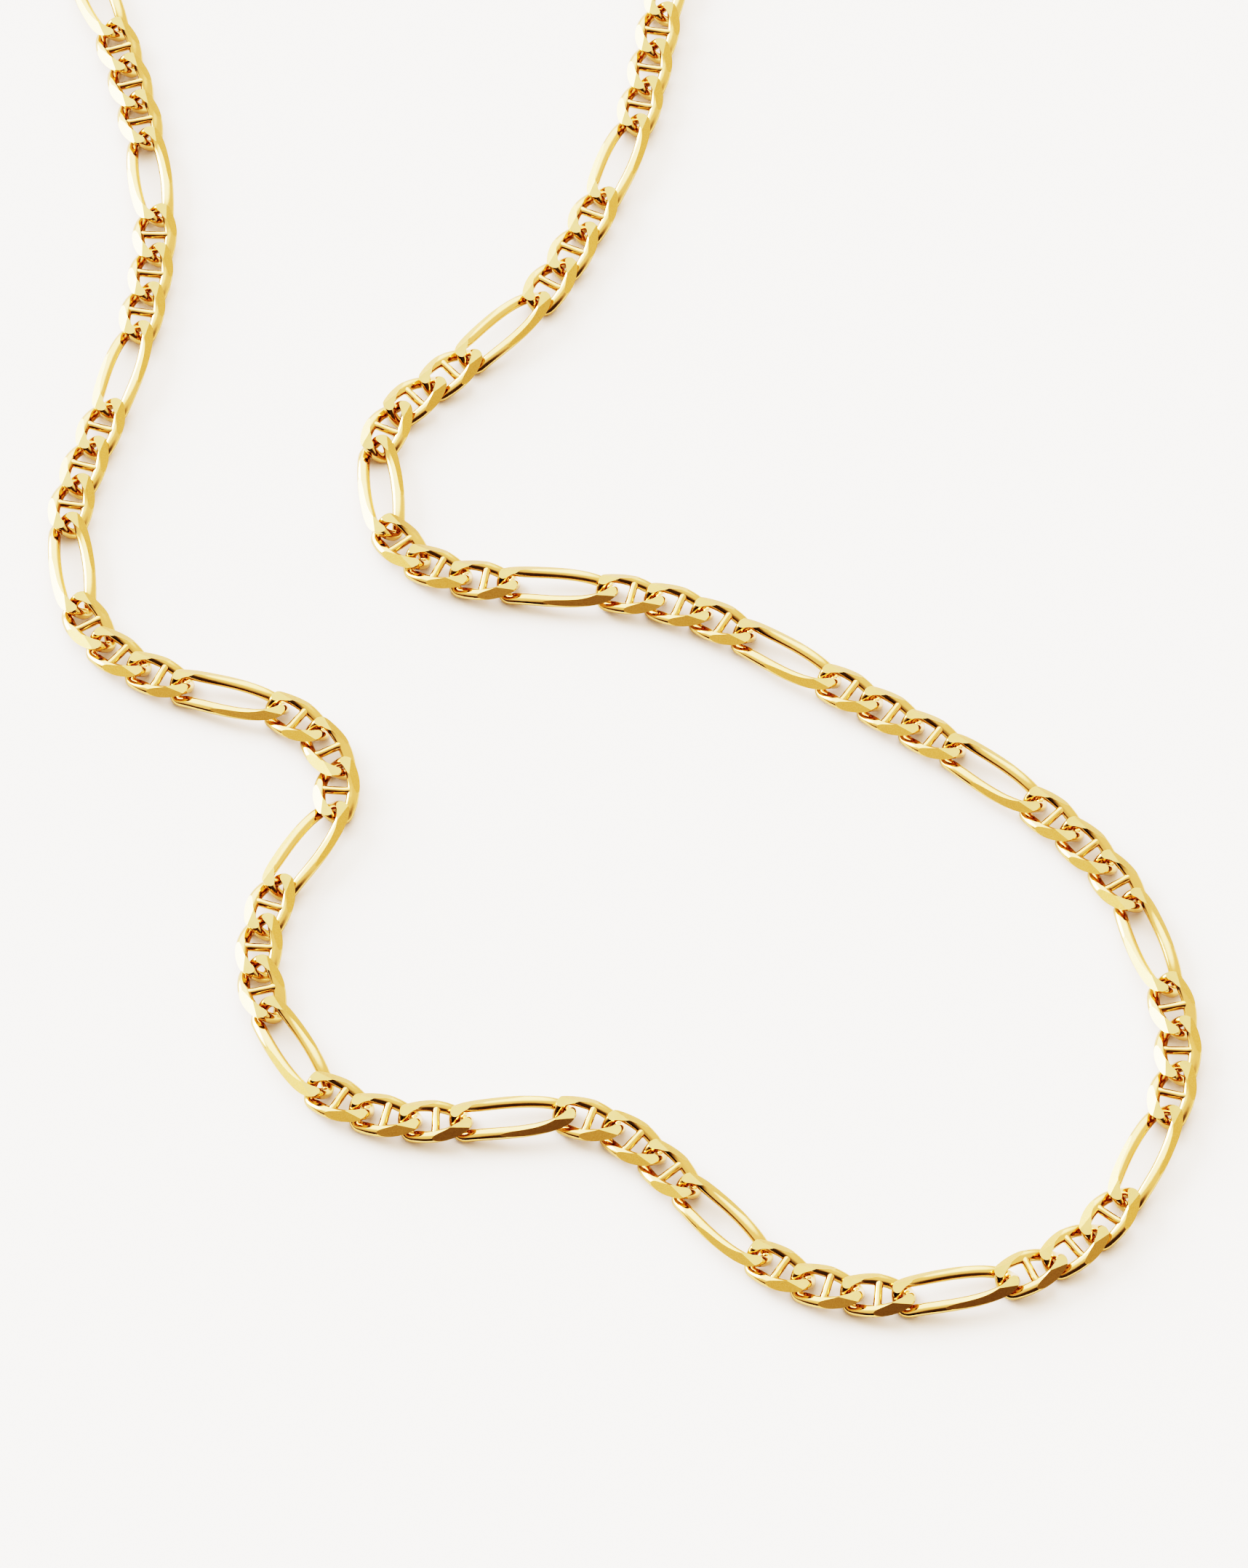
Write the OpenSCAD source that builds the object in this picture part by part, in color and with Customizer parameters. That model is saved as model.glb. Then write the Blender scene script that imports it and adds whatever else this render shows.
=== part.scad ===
// Anchor-pattern curb chain necklace, 45 cm, lying in one open loop on a flat surface.
// Each repeat of the pattern is three short links with a cross bar and one long open link.
// The wire of every link is twisted like a saddle, so the links lie flat, and its high crests are
// cut to flat facets. Millimetres, +Z up, origin under the middle of the loop, at the surface.

/* [Links] */
// Diameter of the round wire
wire_d = 0.62; // [0.56:0.02:0.64]
// Outer width of every link
link_w = 2.82; // [2.76:0.02:2.9]
// Joint to joint length of a short link
short_pitch = 3; // [2.98:0.01:3.02]
// Joint to joint length of a long link
long_pitch = 6.08; // [6.04:0.01:6.12]
// Play between two wires that hook together on a straight run
play = 0.2; // [0.18:0.01:0.22]
// Radius of the wire's centre line round the end of a short link
short_nose_r = 0.9; // [0.86:0.01:0.94]
// Radius of the wire's centre line round the end of a long link
long_nose_r = 0.75; // [0.7:0.01:0.8]
// Diameter of the cross bar of a short link
bar_d = 0.46; // [0.3:0.02:0.5]

/* [Twist and facets] */
// Lift of a short link's wire for each square millimetre of length times width
short_twist = 0.48; // [0.46:0.01:0.5]
// Lift of a long link's wire for each square millimetre of length times width
long_twist = 0.26; // [0.25:0.01:0.27]
// Height of the flat top facets over the middle of the wire
top_h = 0.5; // [0.45:0.01:0.6]
// Half width of the flat top, out to the crease where the bevels start
crease_y = 0.85; // [0.7:0.01:1]
// Slope of the bevelled flanks
bevel = 38; // [30:1:45]

/* [Pattern and clasp] */
// Number of repeats of three short links and one long one
repeats = 29; // [29:1:29]
// Diameter of the barrel clasp
clasp_d = 2.4; // [1.8:0.1:3]
// Width of the groove round the middle of the clasp
groove_w = 0.3; // [0.2:0.05:0.5]

/* [Hidden] */
$fn = 32;
shorts = 3;
links_each = shorts + 1;
two_digits = 10;
gold = [0.87, 0.68, 0.33];

// Beads at the corners of the wire are a little proud of it, and beads that bridge links smaller
corner_bead_d = 1.04 * wire_d;
bridge_d = 0.5;
// Steps of the smooth route between two of its points
steps = 24;

// Points that the middle of the chain passes on the surface, from the clasp all the way round
route = [
    [-27, 77.5], [-33.5, 70.5], [-37, 62.5], [-38.5, 54.5], [-38, 45.5], [-36, 35.5],
    [-32.5, 25.5], [-29, 16.5], [-25.5, 7.5], [-24, 2], [-23, -3], [-22.5, -8], [-23, -13.5],
    [-24, -18], [-25.5, -23], [-27, -27.5], [-27.5, -33.5], [-26.5, -37], [-24.5, -40],
    [-23, -41], [-18.5, -43], [-14.5, -44], [-11.5, -46.5], [-10.5, -50.5], [-13.5, -54.5],
    [-14.5, -57.5], [-15.5, -61], [-15, -64.5], [-12.5, -70], [-10.5, -71.5], [-8.5, -72.5],
    [-3, -73], [2.5, -72.5], [5.5, -73.5], [10, -78], [13.5, -82], [16.5, -84], [20.5, -85],
    [24, -85], [28.5, -84], [33, -81.5], [36.5, -76.5], [38.5, -71.5], [39, -68.5], [38.5, -65],
    [36, -57.5], [31.5, -52], [28, -49], [22.5, -45], [16.5, -41], [11, -37.5], [6.5, -36],
    [1.5, -35.5], [-4, -34.5], [-6, -33.5], [-7, -32], [-11.5, -27.5], [-8.5, -25], [-8, -23.5],
    [-3.5, -19], [1.5, -14], [5, -7.5], [6.5, -4], [8, 0.5], [9.5, 8], [11, 16.5], [13, 26.5],
    [14.5, 37.5], [15, 48.5], [14, 59.5], [10, 70.5], [3, 80], [-7, 85], [-17.5, 84],
];

// Smooth closed curve through the route's points
function at(i) = route[(i + len(route)) % len(route)];
function direction(i) =
    let (back = at(i) - at(i - 1), ahead = at(i + 1) - at(i))
    (back * norm(ahead) / norm(back) + ahead * norm(back) / norm(ahead)) / (norm(back) + norm(ahead));
function between(i, u) =
    let (span = norm(at(i + 1) - at(i)))
    (2 * u ^ 3 - 3 * u ^ 2 + 1) * at(i) + (u ^ 3 - 2 * u ^ 2 + u) * span * direction(i)
    + (3 * u ^ 2 - 2 * u ^ 3) * at(i + 1) + (u ^ 3 - u ^ 2) * span * direction(i + 1);
curve = [for (i = [0 : len(route) - 1]) for (k = [0 : steps - 1]) between(i, k / steps)];

// Joints: each link spans its own pitch from the last joint to the next one on the curve
function on_curve(i) = curve[i % len(curve)];
function pitch(k) = k % links_each == shorts ? long_pitch : short_pitch;
function before(i, from, d) = norm(on_curve(i + 1) - from) < d ? before(i + 1, from, d) : i;
function cross_at(i, from, d) =
    let (near = norm(on_curve(i) - from), far = norm(on_curve(i + 1) - from))
    on_curve(i) + (on_curve(i + 1) - on_curve(i)) * (d - near) / (far - near);
joints = [
    for (
        k = 0, i = 0, p = route[0];
        k <= links_each * repeats;
        i = before(i, p, pitch(k)), p = cross_at(i, p, pitch(k)), k = k + 1
    ) p
];
function heading(a, b) = atan2(b.y - a.y, b.x - a.x);

// Clasp: a loop at each end, like a short link, and a barrel between them
loop_in = 2.4;
clasp_reach = norm(joints[0] - joints[len(joints) - 1]);
barrel_l = clasp_reach - 2 * loop_in;
cone_l = 1.2;
neck_d = 1.6;
groove_depth = 0.15;

// A link's wire on the plan: round noses meet flatter sides at four corners, and the saddle lifts
// two of the corners and lowers the other two
side = (link_w - wire_d) / 2;
function tip(pitch) = (pitch + play + wire_d) / 2;
function side_r(pitch, nose_r) =
    ((tip(pitch) - nose_r) ^ 2 + side ^ 2 - nose_r ^ 2) / (2 * (side - nose_r));
function meet(pitch, nose_r) = atan2(tip(pitch) - nose_r, side_r(pitch, nose_r) - side);
function corner(pitch, nose_r) =
    let (turn = meet(pitch, nose_r))
    [tip(pitch) - nose_r + nose_r * sin(turn), nose_r * cos(turn)];
function lift(at, twist) = twist * at.x * at.y;

// Height of the middle of every link, so that the low corners rest on the surface
middle_h = corner_bead_d / 2 + max(
    lift(corner(short_pitch, short_nose_r), short_twist),
    lift(corner(long_pitch, long_nose_r), long_twist)
);

// Wire bent to an arc that passes through the middle and both ends of a chord
module bent_wire(half_chord, rise) {
    bend = (rise ^ 2 + half_chord ^ 2) / (2 * rise);
    half = asin(half_chord / bend);
    translate([-bend, 0, 0]) rotate([0, 0, -half])
        rotate_extrude(angle = 2 * half) translate([bend, 0]) circle(d = wire_d);
}

// Closed wire oval with its long axis on X: two tilted noses, two tilted sides, four corner beads
// whose poles lie along the wire
module twisted_oval(pitch, nose_r, twist) {
    at = corner(pitch, nose_r);
    up = lift(at, twist);
    turn = meet(pitch, nose_r);
    for (half = [0, 180]) rotate([0, 0, half]) {
        translate([tip(pitch), 0, 0]) rotate([-atan2(up, at.y), 0, 0])
            bent_wire(norm([at.y, up]), tip(pitch) - at.x);
        translate([0, side, 0]) rotate([0, atan2(up, at.x), 0]) rotate([0, 0, 90])
            bent_wire(norm([at.x, up]), side - at.y);
        for (flip = [-1, 1]) translate([at.x, -flip * at.y, flip * up])
            rotate([0, 90, flip * turn]) sphere(d = corner_bead_d);
    }
}

// The space that the cutter leaves: a flat top, and bevels outside the creases
module facet_envelope(pitch) {
    edge = link_w;
    low_edge = top_h - (edge - crease_y) * tan(bevel);
    rotate([90, 0, 90]) linear_extrude(pitch + 2 * link_w, center = true)
        polygon([
            [-crease_y, top_h], [-edge, low_edge], [-edge, -edge],
            [edge, -edge], [edge, low_edge], [crease_y, top_h],
        ]);
}

module short_link() {
    intersection() {
        twisted_oval(short_pitch, short_nose_r, short_twist);
        facet_envelope(short_pitch);
    }
    rotate([90, 0, 0]) cylinder(d = bar_d, h = link_w - wire_d, center = true);
}

module long_link() {
    intersection() {
        twisted_oval(long_pitch, long_nose_r, long_twist);
        facet_envelope(long_pitch);
    }
}

// Puts its child's middle halfway between two joints, lying on the surface
module lay(from, to) {
    translate([(from.x + to.x) / 2, (from.y + to.y) / 2, middle_h])
        rotate([0, 0, heading(from, to)]) children();
}

// One repeat as one solid: its links are bridged at the three joints inside it
module chain_repeat(n) {
    first = links_each * (n - 1);
    color(gold) {
        for (k = [first : first + shorts - 1]) lay(joints[k], joints[k + 1]) short_link();
        lay(joints[first + shorts], joints[first + links_each]) long_link();
        for (k = [first + 1 : first + shorts]) translate([joints[k].x, joints[k].y, middle_h])
            rotate([0, 90, heading(joints[k - 1], joints[k + 1])]) sphere(d = bridge_d);
    }
}

// Barrel between two end loops, one plain solid
module clasp() {
    last = joints[len(joints) - 1];
    first = joints[0];
    along = (first - last) / clasp_reach;
    color(gold) {
        lay(last, last + along * short_pitch) twisted_loop();
        lay(first - along * short_pitch, first) twisted_loop();
        translate([(first.x + last.x) / 2, (first.y + last.y) / 2, clasp_d / 2])
            rotate([0, 0, heading(last, first)]) barrel();
    }
}

module twisted_loop() {
    intersection() {
        twisted_oval(short_pitch, short_nose_r, short_twist);
        facet_envelope(short_pitch);
    }
}

module barrel() {
    straight = barrel_l - 2 * cone_l;
    rotate([0, 90, 0]) difference() {
        union() {
            cylinder(d = clasp_d, h = straight, center = true);
            for (flip = [0, 180]) rotate([flip, 0, 0]) translate([0, 0, straight / 2])
                cylinder(d1 = clasp_d, d2 = neck_d, h = cone_l);
        }
        difference() {
            cylinder(d = clasp_d + 1, h = groove_w, center = true);
            cylinder(d = clasp_d - 2 * groove_depth, h = groove_w + 1, center = true);
        }
    }
}

for (n = [1 : repeats]) chain_repeat(n);
clasp();
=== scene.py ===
import math
import random

import bmesh
import bpy
from mathutils import Matrix, Vector


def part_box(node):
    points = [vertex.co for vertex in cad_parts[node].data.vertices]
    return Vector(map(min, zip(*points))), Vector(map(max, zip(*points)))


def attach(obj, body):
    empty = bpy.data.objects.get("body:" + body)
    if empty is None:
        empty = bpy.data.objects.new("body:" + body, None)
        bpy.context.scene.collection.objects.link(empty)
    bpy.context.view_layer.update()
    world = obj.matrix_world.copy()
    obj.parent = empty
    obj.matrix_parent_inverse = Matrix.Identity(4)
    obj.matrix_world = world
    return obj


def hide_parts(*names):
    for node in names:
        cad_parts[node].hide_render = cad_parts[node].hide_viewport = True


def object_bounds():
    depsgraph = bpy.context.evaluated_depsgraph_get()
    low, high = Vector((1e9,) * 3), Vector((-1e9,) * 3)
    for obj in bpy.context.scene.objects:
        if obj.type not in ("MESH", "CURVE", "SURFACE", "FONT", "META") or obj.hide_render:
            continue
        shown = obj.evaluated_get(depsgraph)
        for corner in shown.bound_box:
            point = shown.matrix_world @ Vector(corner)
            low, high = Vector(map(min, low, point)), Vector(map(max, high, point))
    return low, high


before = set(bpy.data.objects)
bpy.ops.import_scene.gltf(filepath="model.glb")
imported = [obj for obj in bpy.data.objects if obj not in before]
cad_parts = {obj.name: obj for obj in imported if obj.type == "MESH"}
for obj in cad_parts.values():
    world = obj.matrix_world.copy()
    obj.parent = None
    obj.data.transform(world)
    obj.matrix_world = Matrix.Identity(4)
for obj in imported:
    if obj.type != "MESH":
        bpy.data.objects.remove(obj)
cad_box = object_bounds()

# Short links, three in each repeat. Round brass wire is bent to an oval and twisted at both noses,
# so that joined links lie flat. A thin bar is soldered across the middle, which makes the anchor.

mm = 0.001
wire_d = 0.67 * mm
link_w = 2.82 * mm
# Length from joint to joint, and the play between two wires that hook together
short_pitch = 3 * mm
hook_play = 0.12 * mm
short_nose_r = 0.84 * mm
# The noses slope by about 50 degrees, and the twist dies away along the sides within this length
nose_slope = 1.2
twist_fade = 0.75 * mm
# The finished chain is pressed flat, which makes the wire of the sides wider than it is high
pressed = 0.18
# From the middle of a link to the middle of the wire of a side
side_y = (link_w - wire_d * (1 + pressed)) / 2
bar_d = 0.5 * mm
# The wheels cut a flat top at this height over the link's middle, and bevels outside its creases
top_h = 0.54 * mm
crease_y = 0.72 * mm
bevel = math.radians(34)
# Places of the facets in a piece's list of finishes, after the round wire at 0
TOP, BEVEL = 1, 2
# Points of the mesh along a quarter of the link, and round the wire and the bar
short_steps = 20
wire_points = 28
bar_points = 20


def oval(pitch, nose_r, steps):
    """Centre line of a link: two noses and two flatter sides on the plan, lifted by the twist."""
    tip = (pitch + hook_play + wire_d) / 2
    side_r = ((tip - nose_r) ** 2 + side_y ** 2 - nose_r ** 2) / (2 * (side_y - nose_r))
    meet = math.atan2(tip - nose_r, side_r - side_y)
    flat, round_end = side_r * meet, nose_r * (math.pi / 2 - meet)
    quarter = []
    for i in range(steps):
        s = (flat + round_end) * i / steps
        if s < flat:
            turn = s / side_r
            quarter.append((side_r * math.sin(turn), side_y - side_r + side_r * math.cos(turn)))
        else:
            turn = meet + (s - flat) / nose_r
            quarter.append((tip - nose_r + nose_r * math.sin(turn), nose_r * math.cos(turn)))
    plan = quarter + [(tip, 0)] + [(x, -y) for x, y in quarter[::-1]]
    plan += [(-x, -y) for x, y in quarter[1:]] + [(-tip, 0)]
    plan += [(-x, y) for x, y in quarter[:0:-1]]
    full_twist = math.sinh(tip / twist_fade)
    twist = [-nose_slope * math.sinh(x / twist_fade) / full_twist for x, _ in plan]
    return [Vector((x, y, lift * y)) for (x, y), lift in zip(plan, twist)]


def around(points):
    """Angles of the points round a wire."""
    return [2 * math.pi * j / points for j in range(points)]


def wrap(mesh, rings):
    """Smooth faces between each ring of points and the next one."""
    for ring, following in zip(rings, rings[1:]):
        for j in range(len(ring)):
            beside = (j + 1) % len(ring)
            face = mesh.faces.new((ring[j], ring[beside], following[beside], following[j]))
            face.smooth = True


def bend_wire(mesh, line):
    """Sweeps the wire along a closed line: round at the noses, pressed wider along the sides."""
    rings = []
    for i, point in enumerate(line):
        along = (line[(i + 1) % len(line)] - line[i - 1]).normalized()
        out = Vector((along.y, -along.x, 0)).normalized()
        up = out.cross(along).normalized()
        up = up if up.z > 0 else -up
        wide = 1 + pressed * along.x ** 2
        rings.append([
            mesh.verts.new(
                point + wire_d / 2 * (wide * math.cos(a) * out + math.sin(a) / wide * up)
            )
            for a in around(wire_points)
        ])
    wrap(mesh, rings + rings[:1])
    bmesh.ops.recalc_face_normals(mesh, faces=mesh.faces[:])


def shave(mesh, point, normal, finish):
    """Cuts everything outside a plane away and closes each crest with one flat facet."""
    # Points nearer the plane than this count as on it
    on_plane = 1e-8
    cut = bmesh.ops.bisect_plane(
        mesh, geom=mesh.verts[:] + mesh.edges[:] + mesh.faces[:], dist=on_plane,
        plane_co=point, plane_no=normal, clear_outer=True,
    )
    edges = [e for e in cut["geom_cut"] if isinstance(e, bmesh.types.BMEdge)]
    for face in bmesh.ops.holes_fill(mesh, edges=edges, sides=0)["faces"]:
        face.material_index = finish
        face.smooth = False


def twisted_link(pitch, nose_r, steps):
    """A link without a bar: bent, twisted, and shaved to a flat top and two bevels."""
    mesh = bmesh.new()
    bend_wire(mesh, oval(pitch, nose_r, steps))
    shave(mesh, (0, 0, top_h), (0, 0, 1), TOP)
    for side in (1, -1):
        crease = (0, side * crease_y, top_h)
        shave(mesh, crease, (0, side * math.sin(bevel), math.cos(bevel)), BEVEL)
    return mesh


def add_bar(mesh):
    """Round bar across the link, flared where the solder runs up it on to the wire."""
    # Each step of the flare: wire diameters in from the side's middle, and bar diameters across
    flare = [(0.1, 0.85), (0.4, 1.1), (0.75, 1)]
    profile = [(side_y - wire_d * inside, wide) for inside, wide in flare]
    profile += [(wire_d * inside - side_y, wide) for inside, wide in flare[::-1]]
    rings = [
        [mesh.verts.new((wide * bar_d / 2 * math.cos(a), y, wide * bar_d / 2 * math.sin(a)))
         for a in around(bar_points)]
        for y, wide in profile
    ]
    wrap(mesh, rings)
    mesh.faces.new(rings[0][::-1])
    mesh.faces.new(rings[-1])


def finish_link(mesh, name):
    """Marks the rims of the facets as sharp, and gives the mesh that every such link copies."""
    sharp = math.radians(20)
    for edge in mesh.edges:
        if len(edge.link_faces) == 2 and edge.calc_face_angle(0) > sharp:
            edge.smooth = False
    link = bpy.data.meshes.new(name)
    mesh.to_mesh(link)
    mesh.free()
    return link


barred_oval = twisted_link(short_pitch, short_nose_r, short_steps)
add_bar(barred_oval)
short_link = finish_link(barred_oval, "short_link")

# Long links, one after each three short ones. The same wire makes a longer, narrower-nosed oval
# with no bar, and its long sides rise and fall gently, so their facets come out long and slim.

long_pitch = 6.08 * mm
long_nose_r = 0.8 * mm
long_steps = 28

long_link = finish_link(twisted_link(long_pitch, long_nose_r, long_steps), "long_link")

# Gold plate on the round wire. The joined chain is plated over polished brass and tumbled bright,
# so it mirrors the room sharply, with the faint unevenness that tumbling leaves.

# The plate's tone drifts over wide patches, and the tumbler leaves shallow marks closer together
plate_patch = 1.6 * mm
tumbling_mark = 0.35 * mm
mark_depth = 0.02 * mm


def linear(hex_colour):
    """Turns an sRGB hex colour to the linear values that a shader takes."""
    parts = [int(hex_colour[i:i + 2], 16) / 255 for i in (1, 3, 5)]
    return tuple(c / 12.92 if c <= 0.04045 else ((c + 0.055) / 1.055) ** 2.4 for c in parts) + (1,)


def add_node(owner, kind, inputs, **settings):
    """Adds a node to a material or to the room. An input takes a value or a node's output."""
    node = owner.node_tree.nodes.new(kind)
    for name, value in settings.items():
        setattr(node, name, value)
    for name, value in inputs.items():
        if isinstance(value, bpy.types.NodeSocket):
            owner.node_tree.links.new(value, node.inputs[name])
        else:
            node.inputs[name].default_value = value
    return node


def new_material(name):
    """A material with no nodes yet."""
    material = bpy.data.materials.new(name)
    material.use_nodes = True
    material.node_tree.nodes.clear()
    return material


tumbled_plate = new_material("tumbled_gold_plate")
place = add_node(tumbled_plate, "ShaderNodeTexCoord", {}).outputs["Object"]
plate_patches = add_node(
    tumbled_plate, "ShaderNodeTexNoise",
    {"Vector": place, "Scale": 1 / plate_patch, "Detail": 2.0, "Roughness": 0.5},
)
plate_colour = add_node(
    tumbled_plate, "ShaderNodeMix",
    {"Factor": plate_patches.outputs["Fac"], "A": linear("#CFA66E"), "B": linear("#C59A60")},
    data_type="RGBA",
)
tumbling_marks = add_node(
    tumbled_plate, "ShaderNodeTexNoise",
    {"Vector": place, "Scale": 1 / tumbling_mark, "Detail": 2.0, "Roughness": 0.5},
)
tumbled_bump = add_node(
    tumbled_plate, "ShaderNodeBump",
    {"Height": tumbling_marks.outputs["Fac"], "Strength": 0.2, "Distance": mark_depth},
)
tumbled_gloss = add_node(
    tumbled_plate, "ShaderNodeMapRange",
    {"Value": tumbling_marks.outputs["Fac"], "From Min": 0.3, "From Max": 0.7,
     "To Min": 0.08, "To Max": 0.15},
)
plate_shader = add_node(
    tumbled_plate, "ShaderNodeBsdfPrincipled",
    {"Base Color": plate_colour.outputs["Result"], "Metallic": 1.0,
     "Roughness": tumbled_gloss.outputs["Result"], "Normal": tumbled_bump.outputs["Normal"]},
)
add_node(tumbled_plate, "ShaderNodeOutputMaterial", {"Surface": plate_shader.outputs["BSDF"]})

# The flat tops of the crests. A wheel shaves them after the links are joined, and plate over its
# fine marks gives them a soft satin sheen, paler and calmer than the round wire beside them.

# The wheel's strokes leave faint waves about this far apart
satin_patch = 0.5 * mm
satin_depth = 0.02 * mm

shaved_plate = new_material("shaved_gold_tops")
place = add_node(shaved_plate, "ShaderNodeTexCoord", {}).outputs["Object"]
satin_patches = add_node(
    shaved_plate, "ShaderNodeTexNoise",
    {"Vector": place, "Scale": 1 / satin_patch, "Detail": 1.0, "Roughness": 0.5},
)
satin_colour = add_node(
    shaved_plate, "ShaderNodeMix",
    {"Factor": satin_patches.outputs["Fac"], "A": linear("#B09460"), "B": linear("#A68A56")},
    data_type="RGBA",
)
satin_bump = add_node(
    shaved_plate, "ShaderNodeBump",
    {"Height": satin_patches.outputs["Fac"], "Strength": 0.2, "Distance": satin_depth},
)
satin_shader = add_node(
    shaved_plate, "ShaderNodeBsdfPrincipled",
    {"Base Color": satin_colour.outputs["Result"], "Metallic": 1.0, "Roughness": 0.6,
     "Normal": satin_bump.outputs["Normal"]},
)
add_node(shaved_plate, "ShaderNodeOutputMaterial", {"Surface": satin_shader.outputs["BSDF"]})

# The bevels beside them. Another wheel cuts these, and its grit leaves a grain of bright and dark
# specks under the plate. They gleam more than the tops: white towards a window, brown away from it.

# Real grit marks are about 0.02 mm apart. They are drawn at 0.07 mm, so that they show.
grit_mark = 0.07 * mm
grit_depth = 0.02 * mm

bevelled_plate = new_material("grained_gold_bevels")
place = add_node(bevelled_plate, "ShaderNodeTexCoord", {}).outputs["Object"]
grit = add_node(
    bevelled_plate, "ShaderNodeTexNoise",
    {"Vector": place, "Scale": 1 / grit_mark, "Detail": 1.0, "Roughness": 0.6},
)
grain_colour = add_node(
    bevelled_plate, "ShaderNodeMix",
    {"Factor": grit.outputs["Fac"], "A": linear("#A87E44"), "B": linear("#CCA264")},
    data_type="RGBA",
)
grain_bump = add_node(
    bevelled_plate, "ShaderNodeBump",
    {"Height": grit.outputs["Fac"], "Strength": 0.3, "Distance": grit_depth},
)
grain_shader = add_node(
    bevelled_plate, "ShaderNodeBsdfPrincipled",
    {"Base Color": grain_colour.outputs["Result"], "Metallic": 1.0, "Roughness": 0.3,
     "Normal": grain_bump.outputs["Normal"]},
)
add_node(bevelled_plate, "ShaderNodeOutputMaterial", {"Surface": grain_shader.outputs["BSDF"]})

# The chain, laid on the table in one loop. Its middle follows the points below, and each link
# reaches from one joint to the next, as on a real chain pulled lightly into place by hand. Each
# repeat of the pattern, three short links and a long one, is one piece of loose links.

scene = bpy.context.scene
repeats = 29
shorts = 3
links_each = shorts + 1
# Points of the smooth curve from one point of the route to the next
steps_between = 24
# Most degrees that a loose link tips over on its long axis, and up at one nose
most_tip_over = 1.5
most_tip_up = 0.7
route = [Vector(point) * mm for point in (
    (-27, 77.5), (-33.5, 70.5), (-37, 62.5), (-38.5, 54.5), (-38, 45.5), (-36, 35.5),
    (-32.5, 25.5), (-29, 16.5), (-25.5, 7.5), (-24, 2), (-23, -3), (-22.5, -8), (-23, -13.5),
    (-24, -18), (-25.5, -23), (-27, -27.5), (-27.5, -33.5), (-26.5, -37), (-24.5, -40),
    (-23, -41), (-18.5, -43), (-14.5, -44), (-11.5, -46.5), (-10.5, -50.5), (-13.5, -54.5),
    (-14.5, -57.5), (-15.5, -61), (-15, -64.5), (-12.5, -70), (-10.5, -71.5), (-8.5, -72.5),
    (-3, -73), (2.5, -72.5), (5.5, -73.5), (10, -78), (13.5, -82), (16.5, -84), (20.5, -85),
    (24, -85), (28.5, -84), (33, -81.5), (36.5, -76.5), (38.5, -71.5), (39, -68.5), (38.5, -65),
    (36, -57.5), (31.5, -52), (28, -49), (22.5, -45), (16.5, -41), (11, -37.5), (6.5, -36),
    (1.5, -35.5), (-4, -34.5), (-6, -33.5), (-7, -32), (-11.5, -27.5), (-8.5, -25), (-8, -23.5),
    (-3.5, -19), (1.5, -14), (5, -7.5), (6.5, -4), (8, 0.5), (9.5, 8), (11, 16.5), (13, 26.5),
    (14.5, 37.5), (15, 48.5), (14, 59.5), (10, 70.5), (3, 80), (-7, 85), (-17.5, 84),
)]


def direction(i):
    """Heading of the smooth route at a point, weighted by how near its neighbours are."""
    back = route[i % len(route)] - route[i - 1]
    ahead = route[(i + 1) % len(route)] - route[i % len(route)]
    near, far = back.length, ahead.length
    return (back * far / near + ahead * near / far) / (near + far)


def smooth_route():
    """Points a few tenths of a millimetre apart on one smooth closed curve through the route."""
    curve = []
    for i, start in enumerate(route):
        end = route[(i + 1) % len(route)]
        span = (end - start).length
        for k in range(steps_between):
            u = k / steps_between
            curve.append((2 * u ** 3 - 3 * u ** 2 + 1) * start
                         + (u ** 3 - 2 * u ** 2 + u) * span * direction(i)
                         + (3 * u ** 2 - 2 * u ** 3) * end
                         + (u ** 3 - u ** 2) * span * direction(i + 1))
    return curve


def find_joints():
    """Steps along the route from joint to joint, each time by the next link's own pitch."""
    curve, joints, i = smooth_route(), [route[0]], 0
    for k in range(repeats * links_each):
        pitch = long_pitch if k % links_each == shorts else short_pitch
        last = joints[-1]
        while (curve[(i + 1) % len(curve)] - last).length < pitch:
            i += 1
        here, following = curve[i % len(curve)], curve[(i + 1) % len(curve)]
        near, far = (here - last).length, (following - last).length
        joints.append(here.lerp(following, (pitch - near) / (far - near)))
    return joints


joints = find_joints()
table_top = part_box("repeat_01")[0][2]
jostle = random.Random(4)


def lay(link, start, end):
    """A copy of a link between two joints, tipped a little and resting on its lowest point."""
    middle, along = (start + end) / 2, end - start
    tip_over = Matrix.Rotation(
        math.radians(jostle.uniform(-most_tip_over, most_tip_over)), 4, "X")
    tip_up = Matrix.Rotation(
        math.radians(jostle.uniform(-most_tip_up, most_tip_up)), 4, "Y")
    placed = link.copy()
    placed.transform(Matrix.Rotation(math.atan2(along.y, along.x), 4, "Z") @ tip_over @ tip_up)
    lowest = min(vertex.co.z for vertex in placed.vertices)
    placed.transform(Matrix.Translation((middle.x, middle.y, table_top - lowest)))
    return placed


def join_links(name, links):
    """One piece of the links in a repeat, with the finishes of their wire, tops and bevels."""
    mesh = bmesh.new()
    for link in links:
        mesh.from_mesh(link)
        bpy.data.meshes.remove(link)
    joined = bpy.data.meshes.new(name)
    mesh.to_mesh(joined)
    mesh.free()
    for finish in (tumbled_plate, shaved_plate, bevelled_plate):
        joined.materials.append(finish)
    piece = bpy.data.objects.new(name, joined)
    scene.collection.objects.link(piece)
    return piece


for n in range(repeats):
    node = f"repeat_{n + 1:02d}"
    first = n * links_each
    links = [lay(long_link if k == shorts else short_link, joints[first + k], joints[first + k + 1])
             for k in range(links_each)]
    chain_piece = join_links(f"links_{n + 1:02d}", links)
    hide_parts(node)
    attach(chain_piece, "root")

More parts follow.
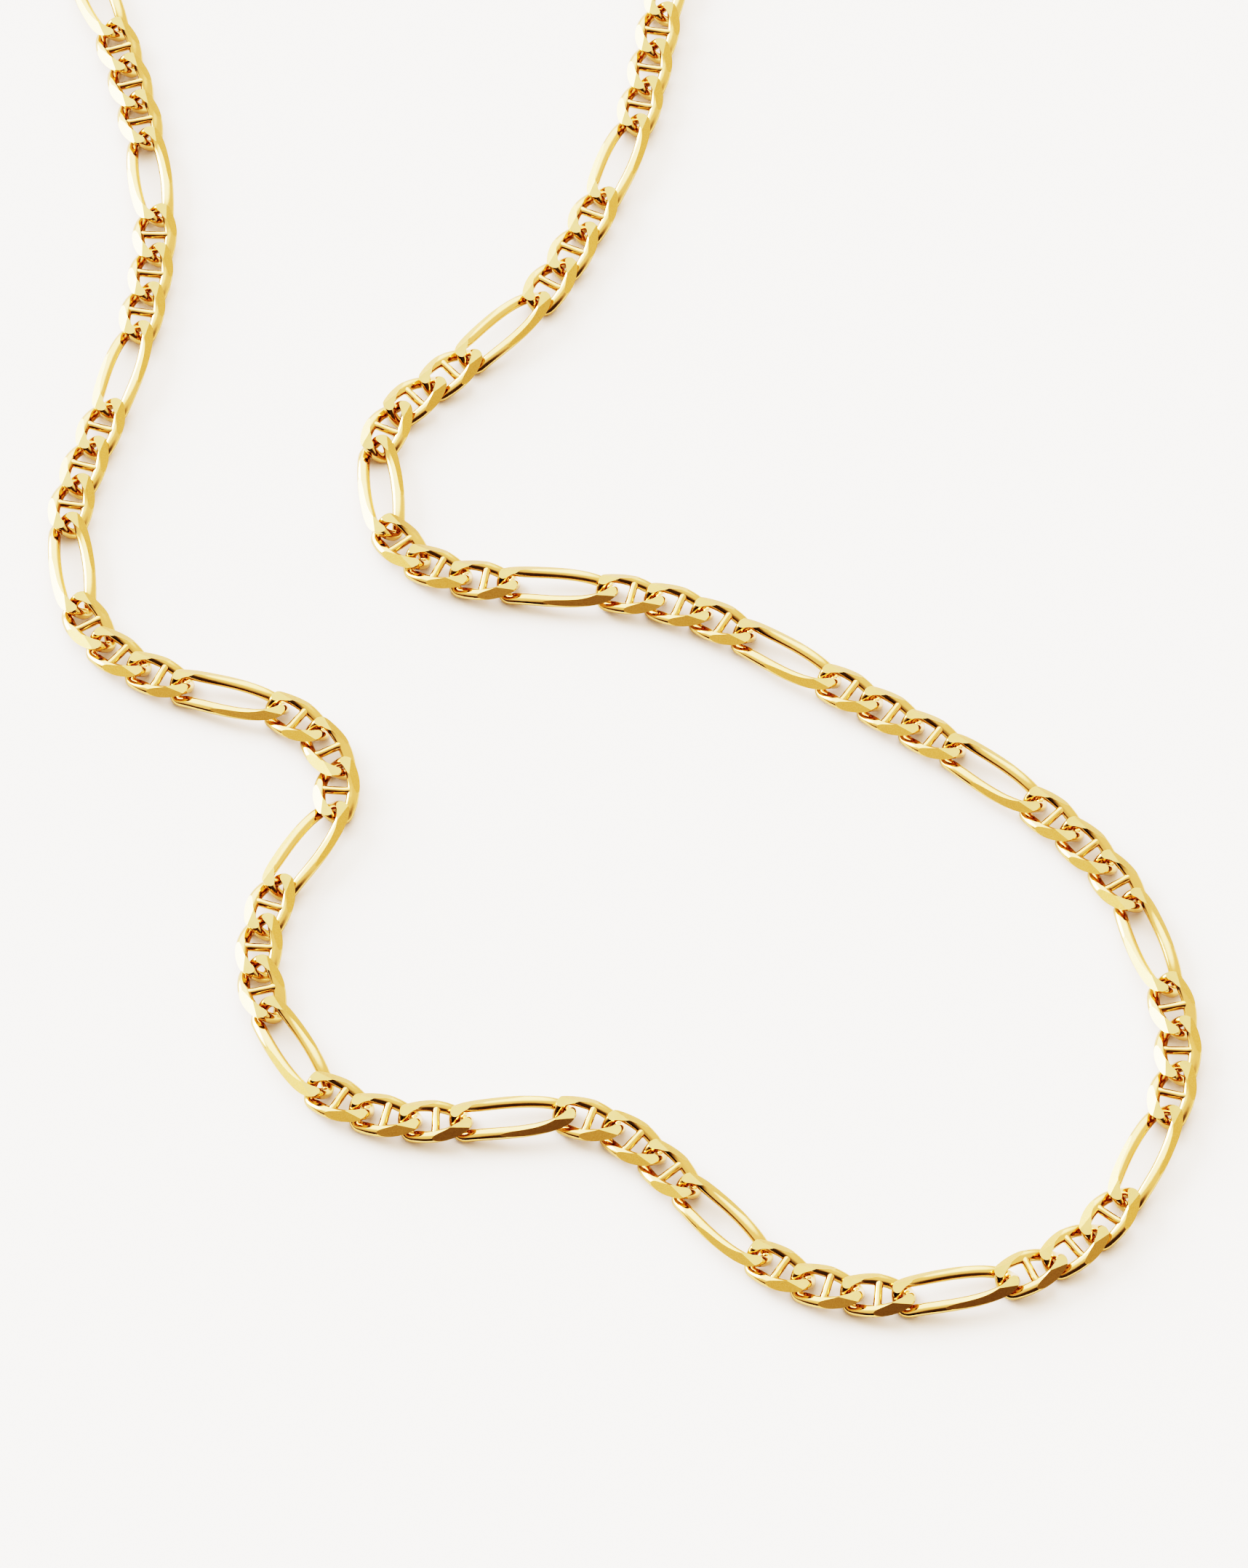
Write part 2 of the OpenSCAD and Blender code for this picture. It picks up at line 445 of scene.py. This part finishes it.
# The clasp is out of the photograph, so it is a plain barrel of the same plated brass: a loop of
# wire at each end hooks into the chain, and a turned groove marks where its halves screw together.

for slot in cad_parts["clasp"].material_slots:
    slot.material = tumbled_plate

# The table is a sheet of heavy uncoated white paper, much wider than the chain. Its tooth shows
# only as faint shading, it throws light up under the links, and they tint it warm close by.

paper_w = 6.0
paper_cells = 8
# Real paper tooth is about 0.3 mm apart. It is drawn at 2.2 mm, so that it shows.
tooth_size = 2.2 * mm
tooth_depth = 0.08 * mm

white_paper = new_material("uncoated_white_paper")
place = add_node(white_paper, "ShaderNodeTexCoord", {}).outputs["Object"]
paper_tooth = add_node(
    white_paper, "ShaderNodeTexNoise",
    {"Vector": place, "Scale": 1 / tooth_size, "Detail": 5.0, "Roughness": 0.6},
)
paper_bump = add_node(
    white_paper, "ShaderNodeBump",
    {"Height": paper_tooth.outputs["Fac"], "Strength": 0.2, "Distance": tooth_depth},
)
paper_shader = add_node(
    white_paper, "ShaderNodeBsdfPrincipled",
    {"Base Color": linear("#F8F6F2"), "Roughness": 0.9, "Normal": paper_bump.outputs["Normal"]},
)
add_node(white_paper, "ShaderNodeOutputMaterial", {"Surface": paper_shader.outputs["BSDF"]})
sheet = bmesh.new()
bmesh.ops.create_grid(sheet, x_segments=paper_cells, y_segments=paper_cells, size=paper_w / 2)
table_mesh = bpy.data.meshes.new("paper")
sheet.to_mesh(table_mesh)
sheet.free()
table_mesh.materials.append(white_paper)
table = bpy.data.objects.new("paper", table_mesh)
table.location.z = cad_box[0][2]
scene.collection.objects.link(table)

# The light is a white studio in daylight: warm pale walls and ceiling all round, and two large
# soft windows, one high behind and one low on the left, that bleach what faces them. A dark
# doorway behind the camera and a dark floor beside it show nearly black in the near wire.

room = bpy.data.worlds.new("studio_room")
room.use_nodes = True
room.node_tree.nodes.clear()
scene.world = room
look_dir = add_node(room, "ShaderNodeTexCoord", {}).outputs["Generated"]


def room_part(toward, edge_angle, core_angle, outside, inside):
    """Radiance outside and inside a soft-edged round part of the room, sized in degrees."""
    nearness = add_node(
        room, "ShaderNodeVectorMath", {0: look_dir, 1: Vector(toward).normalized()},
        operation="DOT_PRODUCT",
    )
    return add_node(
        room, "ShaderNodeMapRange",
        {"Value": nearness.outputs["Value"], "From Min": math.cos(math.radians(edge_angle)),
         "From Max": math.cos(math.radians(core_angle)), "To Min": outside, "To Max": inside},
        interpolation_type="SMOOTHSTEP",
    ).outputs["Result"]


lit_walls = room_part((0.2, -0.88, 0.45), edge_angle=58, core_angle=28, outside=0.95, inside=0.05)
dark_floor = room_part((-0.8, -0.6, 0.05), edge_angle=44, core_angle=22, outside=0, inside=0.9)
wall_light = add_node(
    room, "ShaderNodeMath", {0: lit_walls, 1: dark_floor}, operation="SUBTRACT", use_clamp=True,
)
back_window = room_part((-0.2, 0.72, 0.66), edge_angle=46, core_angle=22, outside=0, inside=1.9)
left_window = room_part((-0.8, 0.52, 0.3), edge_angle=25, core_angle=11, outside=0, inside=14)
window_light = add_node(room, "ShaderNodeMath", {0: back_window, 1: left_window}, operation="ADD")
walls = add_node(
    room, "ShaderNodeBackground",
    {"Color": linear("#FFE8D0"), "Strength": wall_light.outputs["Value"]},
)
windows = add_node(
    room, "ShaderNodeBackground",
    {"Color": linear("#F6FAFF"), "Strength": window_light.outputs["Value"]},
)
all_light = add_node(
    room, "ShaderNodeAddShader",
    {0: walls.outputs["Background"], 1: windows.outputs["Background"]},
)
add_node(room, "ShaderNodeOutputWorld", {"Surface": all_light.outputs["Shader"]})

# The camera stands in front of the table with a long lens, looking down at the near bend of the
# chain. Its angle, distance and lens come from the photograph's own proportions, and its strong
# contrast turns the gold pale yellow where it catches the windows and brown where it doesn't.

image_w = 1716
focal_px = 10764
sensor_w = 36
distance = 471.6 * mm
elevation = math.radians(57.83)
roll = math.radians(-0.81)
aim = Vector((6.5, -49.35, 0.07)) * mm

camera_data = bpy.data.cameras.new("camera")
camera_data.sensor_fit = "HORIZONTAL"
camera_data.sensor_width = sensor_w
camera_data.lens = focal_px * sensor_w / image_w
camera_data.clip_start = 0.01
camera_data.clip_end = 20
camera = bpy.data.objects.new("camera", camera_data)
scene.collection.objects.link(camera)
ahead = Vector((0, math.cos(elevation), -math.sin(elevation)))
right = Vector((1, 0, 0))
up = right.cross(ahead)
camera_right = math.cos(roll) * right + math.sin(roll) * up
camera_up = -math.sin(roll) * right + math.cos(roll) * up
camera.location = aim - distance * ahead
camera.rotation_euler = Matrix((camera_right, camera_up, -ahead)).transposed().to_euler()
scene.camera = camera
scene.view_settings.view_transform = "Filmic"
scene.view_settings.look = "Very High Contrast"
scene.view_settings.exposure = 0.95
